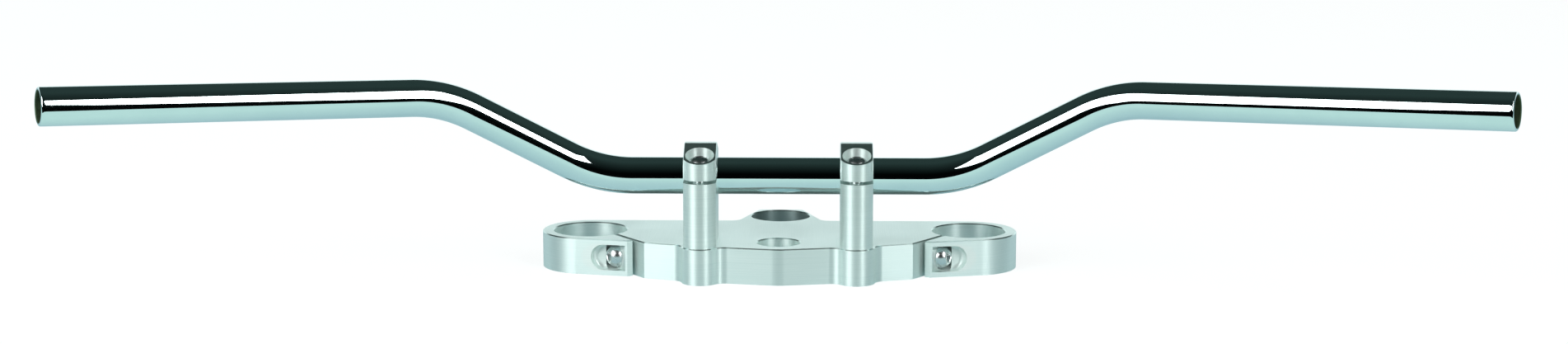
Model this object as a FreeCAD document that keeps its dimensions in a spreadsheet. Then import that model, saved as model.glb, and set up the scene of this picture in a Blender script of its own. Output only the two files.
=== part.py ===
import FreeCAD, Part
import math
import os
import Sketcher
from FreeCAD import Placement, Rotation, Vector

# Motorcycle handlebar on its two risers and the top fork yoke.
# Millimetres. X points to the rider's right, Y forwards, Z up.
# The origin is on the steering-stem axis, at the underside of the yoke.

SIZES = {
    # Handlebar tube: straight centre, two bends a side, straight grip ends
    "bar_diameter": 22.2,
    "bar_wall": 2.0,
    "bar_end_rounding": 1.1,
    "bar_mouth_chamfer": 0.5,
    "bend_radius": 75.0,
    "centre_half_length": 107.9,
    "shoulder_half_width": 197.8,
    "shoulder_pullback": 19.3,
    "shoulder_rise": 49.7,
    "end_half_width": 408.7,
    "end_pullback": 124.3,
    "end_rise": 59.7,
    # Place of the bar over the yoke
    "bar_forward": 4.0,
    "riser_height": 40.0,
    "riser_spacing": 93.4,
    # Yoke plate
    "yoke_thickness": 22.0,
    "yoke_edge_break": 0.6,
    "stem_bore": 26.0,
    "nose_radius": 21.5,
    "nose_angle": 10.8,
    "boss_margin": 0.7,
    "boss_blend": 8.0,
    # Lobe of the ignition lock
    "lock_bore": 36.8,
    "lock_forward": 84.0,
    "lock_wall": 2.0,
    "lobe_back_width": 28.0,
    "lobe_base_width": 53.0,
    "lobe_corner_radius": 4.0,
    "lobe_base_radius": 6.0,
    # Fork clamps
    "fork_spacing": 232.6,
    "fork_forward": 38.5,
    "fork_bore": 45.0,
    "fork_wall": 6.8,
    "ear_angle": 12.5,
    "ear_reach": 32.0,
    "slit_angle": 36.0,
    "slit_width": 2.0,
    "slit_offset": 3.9,
    "slit_reach": 53.6,
    # Recess of the pinch screw in the front of each clamp
    "recess_width": 15.6,
    "recess_start": 9.0,
    "recess_end": 30.6,
    "recess_depth": 6.0,
    "recess_corner": 3.0,
    "pinch_angle": 30.0,
    "pinch_inset": 10.0,
    "pinch_seat_length": 6.0,
    "pinch_screw_length": 25.0,
    # Risers and caps
    "riser_width": 19.5,
    "riser_depth": 53.0,
    "riser_end_radius": 10.5,
    "cap_gap": 2.0,
    "cap_height": 20.1,
    "cap_lip_height": 11.1,
    "cap_flat_depth": 5.2,
    "cap_edge_rounding": 0.8,
    "cap_screw_spacing": 32.4,
    "cap_screw_seat": 9.6,
    "cap_counterbore": 17.2,
    "cap_screw_length": 30.0,
    # Screws from below
    "riser_screw_spacing": 33.0,
    "riser_screw_seat": 9.0,
    "riser_screw_length": 25.0,
    "riser_counterbore": 14.4,
    # Screw stock
    "thread_diameter": 8.0,
    "screw_clearance": 0.6,
    "thread_spare": 1.0,
    "screw_point": 1.0,
    "button_diameter": 14.0,
    "button_rim": 0.6,
    "button_socket": 5.0,
    "button_socket_depth": 2.6,
    "cap_button_height": 4.4,
    "cap_button_crown": 6.6,
    "cap_button_dome": 6.2,
    "pinch_button_height": 6.0,
    "pinch_button_crown": 8.0,
    "pinch_button_dome": 6.4,
    "socket_head_diameter": 13.0,
    "socket_head_height": 8.0,
    "socket_head_rounding": 0.6,
    "socket_head_hex": 6.0,
    "socket_head_hex_depth": 4.0,
}

doc = FreeCAD.newDocument("handlebar")
sheet = doc.addObject("Spreadsheet::Sheet", "Sizes")
for row, (alias, number) in enumerate(SIZES.items(), start=1):
    sheet.set(f"A{row}", alias)
    sheet.set(f"B{row}", str(number))
    sheet.setAlias(f"B{row}", alias)
doc.recompute()

# Places that several pieces share, as expressions on the sheet
BAR_RADIUS = "(Sizes.bar_diameter / 2)"
BAR_HEIGHT = "(Sizes.yoke_thickness + Sizes.riser_height)"
RISER_X = "(Sizes.riser_spacing / 2)"
FORK_X = "(Sizes.fork_spacing / 2)"
FORK_CENTRE = (FORK_X, "Sizes.fork_forward", "0")
EYE_RADIUS = "(Sizes.fork_bore / 2 + Sizes.fork_wall)"
BACK_Y = f"(Sizes.fork_forward + {EYE_RADIUS})"
LOBE_Y = "(Sizes.lock_forward + Sizes.lock_bore / 2 + Sizes.lock_wall)"
NOSE_TIP_Y = "(-Sizes.nose_radius / cos(Sizes.nose_angle))"
BOSS_RADIUS = "(Sizes.riser_end_radius + Sizes.boss_margin)"
BOSS_Y = "(Sizes.bar_forward - Sizes.riser_depth / 2 + Sizes.riser_end_radius)"
SLIT_WALL = "(Sizes.slit_offset + Sizes.slit_width / 2)"
MID_HEIGHT = "(Sizes.yoke_thickness / 2)"
THREAD_RADIUS = "(Sizes.thread_diameter / 2)"
CLEAR_RADIUS = "(Sizes.thread_diameter / 2 + Sizes.screw_clearance / 2)"

# Inner end of the pinch recess on the clamp's front face, and the screw's seat behind it
RECESS_END_X = (
    f"({FORK_X} - Sizes.recess_end * cos(Sizes.ear_angle) + {EYE_RADIUS} * sin(Sizes.ear_angle))"
)
RECESS_END_Y = (
    "(Sizes.fork_forward - Sizes.recess_end * sin(Sizes.ear_angle)"
    f" - {EYE_RADIUS} * cos(Sizes.ear_angle))"
)
SEAT_X = f"({RECESS_END_X} + Sizes.pinch_inset * sin(Sizes.pinch_angle))"
SEAT_Y = f"({RECESS_END_Y} + Sizes.pinch_inset * cos(Sizes.pinch_angle))"

UP = Vector(0, 0, 1)
DOWN = Vector(0, 0, -1)
LEFT, RIGHT = -1, 1
SIDES = {"left": LEFT, "right": RIGHT}
START_TURN = 10


def new_body(name):
    body = doc.addObject("PartDesign::Body", name)
    body.Label = name
    return body


def new_sketch(body, name, role="XY_Plane", base=("0", "0", "0"), axis=None, angle=None):
    """A sketch on one of its body's planes, moved and turned in that plane's own axes."""
    sketch = body.newObject("Sketcher::SketchObject", name)
    plane = next(feature for feature in body.Origin.OriginFeatures if feature.Role == role)
    sketch.AttachmentSupport = [(plane, "")]
    sketch.MapMode = "FlatFace"
    if axis is not None:
        sketch.AttachmentOffset = Placement(Vector(), Rotation(axis, START_TURN))
        sketch.setExpression("AttachmentOffset.Rotation.Angle", angle)
    for letter, place in zip("xyz", base):
        sketch.setExpression(f"AttachmentOffset.Base.{letter}", place)
    return sketch


def bind(sketch, constraint, expression):
    index = sketch.addConstraint(constraint)
    sketch.setExpression(f"Constraints[{index}]", expression)


def pin_point(sketch, geometry, point, place, guess):
    """Ties one point of a sketch to its distances from the sketch's origin."""
    bind(sketch, Sketcher.Constraint("DistanceX", -1, 1, geometry, point, guess.x), place[0])
    bind(sketch, Sketcher.Constraint("DistanceY", -1, 1, geometry, point, guess.y), place[1])


def polygon(sketch, corners):
    """A closed outline of straight lines through corners given as expressions."""
    count = len(corners)
    first = sketch.GeometryCount
    turn = 2 * math.pi / count
    guesses = [Vector(math.cos(turn * i), math.sin(turn * i), 0) for i in range(count)]
    for i in range(count):
        sketch.addGeometry(Part.LineSegment(guesses[i], guesses[(i + 1) % count]))
    for i in range(count):
        sketch.addConstraint(Sketcher.Constraint("Coincident", first + i, 2, first + (i + 1) % count, 1))
    for i, corner in enumerate(corners):
        pin_point(sketch, first + i, 1, corner, guesses[i])


def circle(sketch, centre, radius):
    guess = Vector(1, 1, 0)
    index = sketch.addGeometry(Part.Circle(guess, UP, 1))
    bind(sketch, Sketcher.Constraint("Radius", index, 1), radius)
    pin_point(sketch, index, 3, centre, guess)


def hexagon(sketch, across_flats):
    corner = f"{across_flats} / 2 / cos(30)"
    polygon(sketch, [(f"{corner} * cos({60 * i})", f"{corner} * sin({60 * i})") for i in range(6)])


def pad(body, name, sketch, length):
    feature = body.newObject("PartDesign::Pad", name)
    feature.Profile = sketch
    feature.setExpression("Length", length)
    doc.recompute()
    return feature


def pocket(body, name, sketch, length=None, upwards=False, both_ways=False):
    """A cut as deep as length, or right through. Fails if nothing was cut."""
    before = body.Shape.Volume
    feature = body.newObject("PartDesign::Pocket", name)
    feature.Profile = sketch
    feature.Reversed = upwards
    if both_ways:
        feature.SideType = "Symmetric"
    if length is None:
        feature.Type = "ThroughAll"
    else:
        feature.setExpression("Length", length)
    doc.recompute()
    if not feature.Shape.Volume < before:
        raise RuntimeError(f"{body.Label}: {name} cut nothing")
    return feature


def revolve(body, kind, name, sketch):
    """A full turn of a profile about its sketch's horizontal axis."""
    feature = body.newObject(kind, name)
    feature.Profile = sketch
    feature.ReferenceAxis = (sketch, ["H_Axis"])
    feature.Angle = 360
    doc.recompute()
    return feature


def dress(body, kind, name, edges, property_name, expression):
    """A fillet or chamfer on edges of the body's last feature, given by number."""
    base = body.Tip
    feature = body.newObject(kind, name)
    feature.Base = (base, [f"Edge{number}" for number in edges])
    feature.setExpression(property_name, expression)
    doc.recompute()
    return feature


def upright_edges(shape, wanted):
    """Numbers of the vertical edges whose place in plan passes the test."""
    numbers = []
    for number, edge in enumerate(shape.Edges, start=1):
        low, high = edge.Vertexes[0].Point, edge.Vertexes[-1].Point
        is_upright = math.hypot(low.x - high.x, low.y - high.y) < 0.001 and abs(low.z - high.z) > 1
        if is_upright and wanted(low.x, low.y):
            numbers.append(number)
    return numbers


def make_handlebar():
    """The tube, swept along straight runs and tangent arcs."""
    outer = sheet.bar_diameter / 2
    centre = Vector(0, sheet.bar_forward, sheet.yoke_thickness + sheet.riser_height)
    right_half = [
        centre + Vector(sheet.centre_half_length, 0, 0),
        centre + Vector(sheet.shoulder_half_width, -sheet.shoulder_pullback, sheet.shoulder_rise),
        centre + Vector(sheet.end_half_width, -sheet.end_pullback, sheet.end_rise),
    ]
    left_half = [Vector(-corner.x, corner.y, corner.z) for corner in reversed(right_half)]
    corners = left_half + right_half

    runs = []
    start = corners[0]
    for before, corner, after in zip(corners, corners[1:], corners[2:]):
        into = (corner - before).normalize()
        out = (after - corner).normalize()
        half_turn = into.getAngle(out) / 2
        reach = sheet.bend_radius * math.tan(half_turn)
        to_arc = sheet.bend_radius / math.cos(half_turn) - sheet.bend_radius
        arc_start = corner - into * reach
        arc_end = corner + out * reach
        arc_middle = corner + (out - into).normalize() * to_arc
        runs.append(Part.LineSegment(start, arc_start))
        runs.append(Part.Arc(arc_start, arc_middle, arc_end))
        start = arc_end
    runs.append(Part.LineSegment(start, corners[-1]))

    path = doc.addObject("Part::Feature", "handlebar_path")
    path.Shape = Part.Wire([run.toShape() for run in runs])
    sweeps = []
    for name, radius in (("outside", BAR_RADIUS), ("inside", f"{BAR_RADIUS} - Sizes.bar_wall")):
        section = doc.addObject("Part::Circle", f"handlebar_{name}_section")
        section.setExpression("Radius", radius)
        section.Placement = Placement(corners[0], Rotation(UP, corners[1] - corners[0]))
        sweep = doc.addObject("Part::Sweep", f"handlebar_{name}")
        sweep.Sections = [section]
        sweep.Spine = (path, [f"Edge{number}" for number in range(1, len(runs) + 1)])
        sweep.Solid = True
        sweeps.append(sweep)
    tube = doc.addObject("Part::Cut", "handlebar_plain_tube")
    tube.Base, tube.Tool = sweeps
    doc.recompute()

    length = path.Shape.Length
    expected = math.pi * (outer**2 - (outer - sheet.bar_wall) ** 2) * length
    if abs(tube.Shape.Volume / expected - 1) > 0.001:
        raise RuntimeError("the tube's volume is not its section times its length")

    def end_edges(shape, radius):
        return [
            number
            for number, edge in enumerate(shape.Edges, start=1)
            if isinstance(edge.Curve, Part.Circle)
            and abs(edge.Curve.Radius - radius) < 0.01
            and min(edge.Curve.Center.distanceToPoint(end) for end in (corners[0], corners[-1])) < 0.01
        ]

    rounding = min(sheet.bar_end_rounding, 0.6 * sheet.bar_wall)
    rounded = doc.addObject("Part::Fillet", "handlebar_rounded")
    rounded.Base = tube
    rounded.Edges = [(number, rounding, rounding) for number in end_edges(tube.Shape, outer)]
    doc.recompute()
    chamfer = min(sheet.bar_mouth_chamfer, 0.3 * sheet.bar_wall)
    handlebar = doc.addObject("Part::Chamfer", "handlebar_tube")
    handlebar.Base = rounded
    mouth_edges = end_edges(rounded.Shape, outer - sheet.bar_wall)
    handlebar.Edges = [(number, chamfer, chamfer) for number in mouth_edges]
    doc.recompute()
    return handlebar


def add_yoke_half_plate(yoke):
    """The right half of the plate: web, fork eye, clamp ear and riser boss."""
    outline = new_sketch(yoke, "half_outline")
    wall_start_x = f"{FORK_X} - {SLIT_WALL} * cos(Sizes.slit_angle)"
    wall_start_y = f"Sizes.fork_forward + {SLIT_WALL} * sin(Sizes.slit_angle)"
    polygon(outline, [
        ("0", LOBE_Y),
        ("0", NOSE_TIP_Y),
        (RISER_X, f"{NOSE_TIP_Y} + {RISER_X} * tan(Sizes.nose_angle)"),
        (
            f"{wall_start_x} - Sizes.slit_reach * sin(Sizes.slit_angle)",
            f"{wall_start_y} - Sizes.slit_reach * cos(Sizes.slit_angle)",
        ),
        (wall_start_x, wall_start_y),
        (FORK_X, "Sizes.fork_forward"),
        (FORK_X, BACK_Y),
        ("Sizes.lobe_base_width / 2", BACK_Y),
        ("Sizes.lobe_back_width / 2", LOBE_Y),
    ])
    pad(yoke, "web", outline, "Sizes.yoke_thickness")

    eye = new_sketch(yoke, "eye_outline")
    circle(eye, (FORK_X, "Sizes.fork_forward"), EYE_RADIUS)
    pad(yoke, "fork_eye", eye, "Sizes.yoke_thickness")

    ear = new_sketch(yoke, "ear_outline", base=FORK_CENTRE, axis=UP, angle="Sizes.ear_angle")
    ear_depth = "(Sizes.fork_bore / 2 - Sizes.fork_wall)"
    polygon(ear, [
        ("0", "0"),
        ("0", f"-{EYE_RADIUS}"),
        ("-Sizes.ear_reach", f"-{EYE_RADIUS}"),
        (f"-Sizes.ear_reach - {ear_depth}", f"-{EYE_RADIUS} + {ear_depth}"),
    ])
    pad(yoke, "clamp_ear", ear, "Sizes.yoke_thickness")

    boss = new_sketch(yoke, "boss_outline")
    circle(boss, (RISER_X, BOSS_Y), BOSS_RADIUS)
    pad(yoke, "riser_boss", boss, "Sizes.yoke_thickness")

    boss_x = sheet.riser_spacing / 2
    boss_reach = sheet.riser_end_radius + sheet.boss_margin + 1
    blend_edges = upright_edges(yoke.Shape, lambda x, y: abs(x - boss_x) < boss_reach and y < 0)
    dress(yoke, "PartDesign::Fillet", "boss_blends", blend_edges, "Radius", "Sizes.boss_blend")

    half_lobe = sheet.lobe_back_width / 2
    lobe_y = sheet.lock_forward + sheet.lock_bore / 2 + sheet.lock_wall
    corner_edges = upright_edges(yoke.Shape, lambda x, y: math.hypot(x - half_lobe, y - lobe_y) < 0.01)
    dress(yoke, "PartDesign::Fillet", "lobe_corner", corner_edges, "Radius", "Sizes.lobe_corner_radius")

    half_base = sheet.lobe_base_width / 2
    base_edges = upright_edges(yoke.Shape, lambda x, y: abs(x - half_base) < 0.01)
    dress(yoke, "PartDesign::Fillet", "lobe_base", base_edges, "Radius", "Sizes.lobe_base_radius")


def add_pinch_recess(yoke):
    """The milled recess in the clamp's front face, the screw's flat seat and its stepped hole."""
    front = new_sketch(
        yoke,
        "recess_outline",
        role="XZ_Plane",
        base=(
            f"{FORK_X} + {EYE_RADIUS} * sin(Sizes.ear_angle)",
            MID_HEIGHT,
            f"-(Sizes.fork_forward - {EYE_RADIUS} * cos(Sizes.ear_angle))",
        ),
        axis=Vector(0, 1, 0),
        angle="Sizes.ear_angle",
    )
    half_width = sheet.recess_width / 2
    round_centre = Vector(-sheet.recess_start - half_width, 0, 0)
    inner_x = -sheet.recess_end
    top = front.addGeometry(Part.LineSegment(
        round_centre + Vector(0, half_width, 0), Vector(inner_x, half_width, 0)))
    inner = front.addGeometry(Part.LineSegment(
        Vector(inner_x, half_width, 0), Vector(inner_x, -half_width, 0)))
    bottom = front.addGeometry(Part.LineSegment(
        Vector(inner_x, -half_width, 0), round_centre + Vector(0, -half_width, 0)))
    outer = front.addGeometry(Part.ArcOfCircle(
        Part.Circle(round_centre, UP, half_width), -math.pi / 2, math.pi / 2))
    for first, second in ((top, inner), (inner, bottom)):
        front.addConstraint(Sketcher.Constraint("Coincident", first, 2, second, 1))
    front.addConstraint(Sketcher.Constraint("Tangent", bottom, 2, outer, 1))
    front.addConstraint(Sketcher.Constraint("Tangent", outer, 2, top, 1))
    front.addConstraint(Sketcher.Constraint("Horizontal", top))
    front.addConstraint(Sketcher.Constraint("Horizontal", bottom))
    front.addConstraint(Sketcher.Constraint("Vertical", inner))
    front.addConstraint(Sketcher.Constraint("PointOnObject", outer, 3, -1))
    bind(front, Sketcher.Constraint("Radius", outer, half_width), "Sizes.recess_width / 2")
    bind(front, Sketcher.Constraint("DistanceX", -1, 1, outer, 3, round_centre.x),
         "-Sizes.recess_start - Sizes.recess_width / 2")
    bind(front, Sketcher.Constraint("DistanceX", -1, 1, inner, 1, inner_x), "-Sizes.recess_end")
    pocket(yoke, "recess", front, "Sizes.recess_depth")

    turn = math.radians(sheet.ear_angle)
    floor_normal = Vector(math.sin(turn), -math.cos(turn), 0)
    floor_height = sheet.recess_width + 0.1
    floor_faces = [
        face
        for face in yoke.Shape.Faces
        if face.normalAt(0, 0).getAngle(floor_normal) < 0.001 and face.BoundBox.ZLength < floor_height
    ]
    floor_edges = [
        number
        for number, edge in enumerate(yoke.Shape.Edges, start=1)
        if any(edge.isSame(other) for face in floor_faces for other in face.Edges)
    ]
    dress(yoke, "PartDesign::Fillet", "recess_floor", floor_edges, "Radius", "Sizes.recess_corner")

    recess_end = (RECESS_END_X, RECESS_END_Y, "0")
    seat = new_sketch(yoke, "seat_outline", base=recess_end, axis=DOWN, angle="Sizes.pinch_angle")
    seat_depth = "(Sizes.pinch_inset + Sizes.recess_width / 2)"
    seat_wall = "(Sizes.ear_reach - Sizes.recess_end)"
    polygon(seat, [
        ("0", "0"),
        ("0", seat_depth),
        (f"-{seat_wall}", seat_depth),
        (f"-{seat_wall}", f"{seat_wall} * tan(Sizes.ear_angle + Sizes.pinch_angle)"),
    ])
    pad(yoke, "screw_seat", seat, "Sizes.yoke_thickness")

    screw_seat = (SEAT_X, SEAT_Y, MID_HEIGHT)
    hole = new_sketch(yoke, "pinch_hole_outline", base=screw_seat, axis=DOWN, angle="Sizes.pinch_angle")
    hole_end = "(Sizes.pinch_screw_length + Sizes.thread_spare)"
    ear_side = "(Sizes.ear_reach - Sizes.recess_end + 2 * Sizes.slit_width)"
    polygon(hole, [
        ("Sizes.pinch_seat_length", "0"),
        ("Sizes.pinch_seat_length", "Sizes.recess_width / 2"),
        ("0", "Sizes.recess_width / 2"),
        ("0", CLEAR_RADIUS),
        (f"-{ear_side}", CLEAR_RADIUS),
        (f"-{ear_side}", THREAD_RADIUS),
        (f"-{hole_end}", THREAD_RADIUS),
        (f"-{hole_end}", "0"),
    ])
    before = yoke.Shape.Volume
    revolve(yoke, "PartDesign::Groove", "pinch_hole", hole)
    if not yoke.Shape.Volume < before:
        raise RuntimeError("the pinch hole cut nothing")


def add_half_holes(yoke):
    """The clamp's saw cut, the fork bore and the stepped holes of the riser screws."""
    slit = new_sketch(yoke, "slit_outline", base=FORK_CENTRE, axis=DOWN, angle="Sizes.slit_angle")
    ear_wall = "(Sizes.slit_offset - Sizes.slit_width / 2)"
    slit_end = "-(Sizes.slit_reach + Sizes.slit_width)"
    polygon(slit, [
        (f"-{SLIT_WALL}", "0"),
        (f"-{SLIT_WALL}", slit_end),
        (f"-{ear_wall}", slit_end),
        (f"-{ear_wall}", "0"),
    ])
    pocket(yoke, "clamp_slit", slit, upwards=True)

    fork = new_sketch(yoke, "fork_bore_outline")
    circle(fork, (FORK_X, "Sizes.fork_forward"), "Sizes.fork_bore / 2")
    pocket(yoke, "fork_bore", fork, upwards=True)

    places = [f"Sizes.bar_forward + {sign} * Sizes.riser_screw_spacing / 2" for sign in (-1, 1)]
    seats = new_sketch(yoke, "riser_screw_seat_outline")
    shanks = new_sketch(yoke, "riser_screw_hole_outline")
    for place in places:
        circle(seats, (RISER_X, place), "Sizes.riser_counterbore / 2")
        circle(shanks, (RISER_X, place), CLEAR_RADIUS)
    pocket(yoke, "riser_screw_seats", seats, "Sizes.riser_screw_seat", upwards=True)
    pocket(yoke, "riser_screw_holes", shanks, upwards=True)


def is_riser_hole(edge):
    """True for the edge of a hole that a riser stands on."""
    radius = sheet.thread_diameter / 2 + sheet.screw_clearance / 2
    return isinstance(edge.Curve, Part.Circle) and abs(edge.Curve.Radius - radius) < 0.001


def make_yoke():
    """The top fork yoke, modelled as its right half and mirrored."""
    yoke = new_body("top_yoke")
    add_yoke_half_plate(yoke)
    add_pinch_recess(yoke)
    add_half_holes(yoke)

    mirror = yoke.newObject("PartDesign::Mirrored", "both_halves")
    mirror.TransformMode = "Whole shape"
    middle = next(feature for feature in yoke.Origin.OriginFeatures if feature.Role == "YZ_Plane")
    mirror.MirrorPlane = (middle, [""])
    mirror.Refine = True
    yoke.Tip = mirror
    doc.recompute()

    nose_edges = upright_edges(yoke.Shape, lambda x, y: abs(x) < 0.01 and y < 0)
    dress(yoke, "PartDesign::Fillet", "nose", nose_edges, "Radius", "Sizes.nose_radius")

    bores = new_sketch(yoke, "centre_bores_outline")
    circle(bores, ("0", "0"), "Sizes.stem_bore / 2")
    circle(bores, ("0", "Sizes.lock_forward"), "Sizes.lock_bore / 2")
    pocket(yoke, "centre_bores", bores, upwards=True)

    is_top = [abs(edge.BoundBox.ZMin - sheet.yoke_thickness) < 0.001 for edge in yoke.Shape.Edges]
    top_edges = [
        number
        for number, edge in enumerate(yoke.Shape.Edges, start=1)
        if is_top[number - 1] and not is_riser_hole(edge)
    ]
    dress(yoke, "PartDesign::Chamfer", "edge_break", top_edges, "Size", "Sizes.yoke_edge_break")
    return yoke


def riser_plan(sketch):
    """Flat flanks joined by an arc at the front and one at the rear."""
    half_width = sheet.riser_width / 2
    radius = sheet.riser_end_radius
    centre_y = sheet.riser_depth / 2 - radius
    corner_y = centre_y + math.sqrt(radius**2 - half_width**2)
    from_axis = math.asin(half_width / radius)
    rear_centre, front_centre = Vector(0, centre_y, 0), Vector(0, -centre_y, 0)
    right = sketch.addGeometry(Part.LineSegment(
        Vector(half_width, -corner_y, 0), Vector(half_width, corner_y, 0)))
    rear = sketch.addGeometry(Part.ArcOfCircle(
        Part.Circle(rear_centre, UP, radius), math.pi / 2 - from_axis, math.pi / 2 + from_axis))
    left = sketch.addGeometry(Part.LineSegment(
        Vector(-half_width, corner_y, 0), Vector(-half_width, -corner_y, 0)))
    front = sketch.addGeometry(Part.ArcOfCircle(
        Part.Circle(front_centre, UP, radius), -math.pi / 2 - from_axis, -math.pi / 2 + from_axis))
    for first, second in ((right, rear), (rear, left), (left, front), (front, right)):
        sketch.addConstraint(Sketcher.Constraint("Coincident", first, 2, second, 1))
    for flank, half in ((right, "Sizes.riser_width / 2"), (left, "-Sizes.riser_width / 2")):
        sketch.addConstraint(Sketcher.Constraint("Vertical", flank))
        guess = half_width if flank == right else -half_width
        bind(sketch, Sketcher.Constraint("DistanceX", -1, 1, flank, 1, guess), half)
    for arc, sign in ((rear, 1), (front, -1)):
        sketch.addConstraint(Sketcher.Constraint("PointOnObject", arc, 3, -2))
        bind(sketch, Sketcher.Constraint("Radius", arc, radius), "Sizes.riser_end_radius")
        bind(sketch, Sketcher.Constraint("DistanceY", -1, 1, arc, 3, sign * centre_y),
             f"{sign} * (Sizes.riser_depth / 2 - Sizes.riser_end_radius)")


def screw_pair(body, name, spacing, radius, height="0"):
    """Two circles in front of and behind the bar."""
    sketch = new_sketch(body, name, base=("0", "0", height))
    for sign in (-1, 1):
        circle(sketch, ("0", f"{sign} * {spacing} / 2"), radius)
    return sketch


def make_riser(side):
    """The post: its top is the lower half of the bar clamp."""
    riser = new_body(f"{side}_riser")
    plan = new_sketch(riser, "plan")
    riser_plan(plan)
    top = "(Sizes.riser_height - Sizes.cap_gap / 2)"
    pad(riser, "post", plan, top)

    saddle = new_sketch(riser, "saddle_outline", role="YZ_Plane")
    circle(saddle, ("0", "Sizes.riser_height"), BAR_RADIUS)
    pocket(riser, "saddle", saddle, both_ways=True)

    cap_threads = screw_pair(riser, "cap_thread_outline", "Sizes.cap_screw_spacing", THREAD_RADIUS, top)
    reach = "Sizes.cap_screw_length - Sizes.cap_screw_seat - Sizes.cap_gap / 2 + Sizes.thread_spare"
    pocket(riser, "cap_threads", cap_threads, reach)

    base_threads = screw_pair(riser, "base_thread_outline", "Sizes.riser_screw_spacing", THREAD_RADIUS)
    grip = "Sizes.riser_screw_length - Sizes.yoke_thickness + Sizes.riser_screw_seat + Sizes.thread_spare"
    pocket(riser, "base_threads", base_threads, grip, upwards=True)

    riser.setExpression("Placement.Base.x", f"{SIDES[side]} * {RISER_X}")
    riser.setExpression("Placement.Base.y", "Sizes.bar_forward")
    riser.setExpression("Placement.Base.z", "Sizes.yoke_thickness")
    return riser


def make_cap(side):
    """The upper half of the bar clamp, bevelled to the front and rear, with sunk screw seats."""
    cap = new_body(f"{side}_riser_cap")
    plan = new_sketch(cap, "plan", base=("0", "0", "Sizes.cap_gap / 2"))
    riser_plan(plan)
    pad(cap, "block", plan, "Sizes.cap_height - Sizes.cap_gap / 2")

    bevels = new_sketch(cap, "bevel_outline", role="YZ_Plane")
    beyond = "(Sizes.riser_depth / 2)"
    for sign in (-1, 1):
        polygon(bevels, [
            (f"{sign} * Sizes.cap_flat_depth / 2", "Sizes.cap_height"),
            (f"{sign} * {beyond}", "Sizes.cap_lip_height"),
            (f"{sign} * {beyond}", "Sizes.cap_height"),
        ])
    pocket(cap, "bevels", bevels, both_ways=True)
    straight_top_edges = [
        number
        for number, edge in enumerate(cap.Shape.Edges, start=1)
        if edge.BoundBox.ZMin > sheet.cap_lip_height - 0.001
        and edge.Curve.TypeId == "Part::GeomLine"
    ]
    dress(cap, "PartDesign::Fillet", "top_rounding", straight_top_edges, "Radius", "Sizes.cap_edge_rounding")

    saddle = new_sketch(cap, "saddle_outline", role="YZ_Plane")
    circle(saddle, ("0", "0"), BAR_RADIUS)
    pocket(cap, "saddle", saddle, both_ways=True)

    sink_radius = "Sizes.cap_counterbore / 2"
    spacing = "Sizes.cap_screw_spacing"
    seats = screw_pair(cap, "screw_seat_outline", spacing, sink_radius, "Sizes.cap_screw_seat")
    pocket(cap, "screw_seats", seats, upwards=True)
    shanks = screw_pair(cap, "screw_hole_outline", spacing, CLEAR_RADIUS)
    pocket(cap, "screw_holes", shanks, upwards=True)

    cap.setExpression("Placement.Base.x", f"{SIDES[side]} * {RISER_X}")
    cap.setExpression("Placement.Base.y", "Sizes.bar_forward")
    cap.setExpression("Placement.Base.z", BAR_HEIGHT)
    return cap


def add_socket(screw, across_flats, depth, height):
    """The hexagon socket in the top of a head."""
    sketch = new_sketch(screw, "socket_outline", role="YZ_Plane", base=("0", "0", height))
    hexagon(sketch, across_flats)
    pocket(screw, "socket", sketch, depth)


def shank_corners(length):
    """The half outline of a screw's shank, from its point to its head's seat."""
    return [
        (f"-{length}", "0"),
        (f"-{length}", f"{THREAD_RADIUS} - Sizes.screw_point"),
        (f"-{length} + Sizes.screw_point", THREAD_RADIUS),
        ("0", THREAD_RADIUS),
    ]


def make_button_screw(use):
    """A button-head screw along X: the head's seat is at the origin and the shank runs to -X."""
    screw = doc.addObject("PartDesign::Body", f"{use}_screw")
    profile = new_sketch(screw, "profile")
    rim_place = ("Sizes.button_rim", "Sizes.button_diameter / 2")
    crown_place = (f"Sizes.{use}_button_height", f"Sizes.{use}_button_crown / 2")
    corners = shank_corners(f"Sizes.{use}_screw_length") + [
        ("0", "Sizes.button_diameter / 2"),
        rim_place,
        crown_place,
        (f"Sizes.{use}_button_height", "0"),
    ]
    polygon(profile, corners)
    doc.recompute()
    revolve(screw, "PartDesign::Revolution", "turned_form", profile)

    height = getattr(sheet, f"{use}_button_height")
    radius = getattr(sheet, f"{use}_button_dome")
    rim = Vector(sheet.button_rim, sheet.button_diameter / 2, 0)
    crown = Vector(height, getattr(sheet, f"{use}_button_crown") / 2, 0)
    chord = crown - rim
    bulge = radius - math.sqrt(radius**2 - chord.Length**2 / 4)
    outwards = Vector(-chord.y, chord.x, 0).normalize()
    middle = (rim + crown) * 0.5 + outwards * bulge
    dome = new_sketch(screw, "dome_outline")
    arc = dome.addGeometry(Part.Arc(crown, middle, rim))
    line = dome.addGeometry(Part.LineSegment(rim, crown))
    arc_ends = sorted((1, 2), key=lambda point: dome.getPoint(arc, point).distanceToPoint(rim))
    dome.addConstraint(Sketcher.Constraint("Coincident", arc, arc_ends[0], line, 1))
    dome.addConstraint(Sketcher.Constraint("Coincident", arc, arc_ends[1], line, 2))
    pin_point(dome, line, 1, rim_place, rim)
    pin_point(dome, line, 2, crown_place, crown)
    bind(dome, Sketcher.Constraint("Radius", arc, radius), f"Sizes.{use}_button_dome")
    revolve(screw, "PartDesign::Revolution", "dome", dome)

    add_socket(screw, "Sizes.button_socket", "Sizes.button_socket_depth", f"Sizes.{use}_button_height")
    return screw


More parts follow.
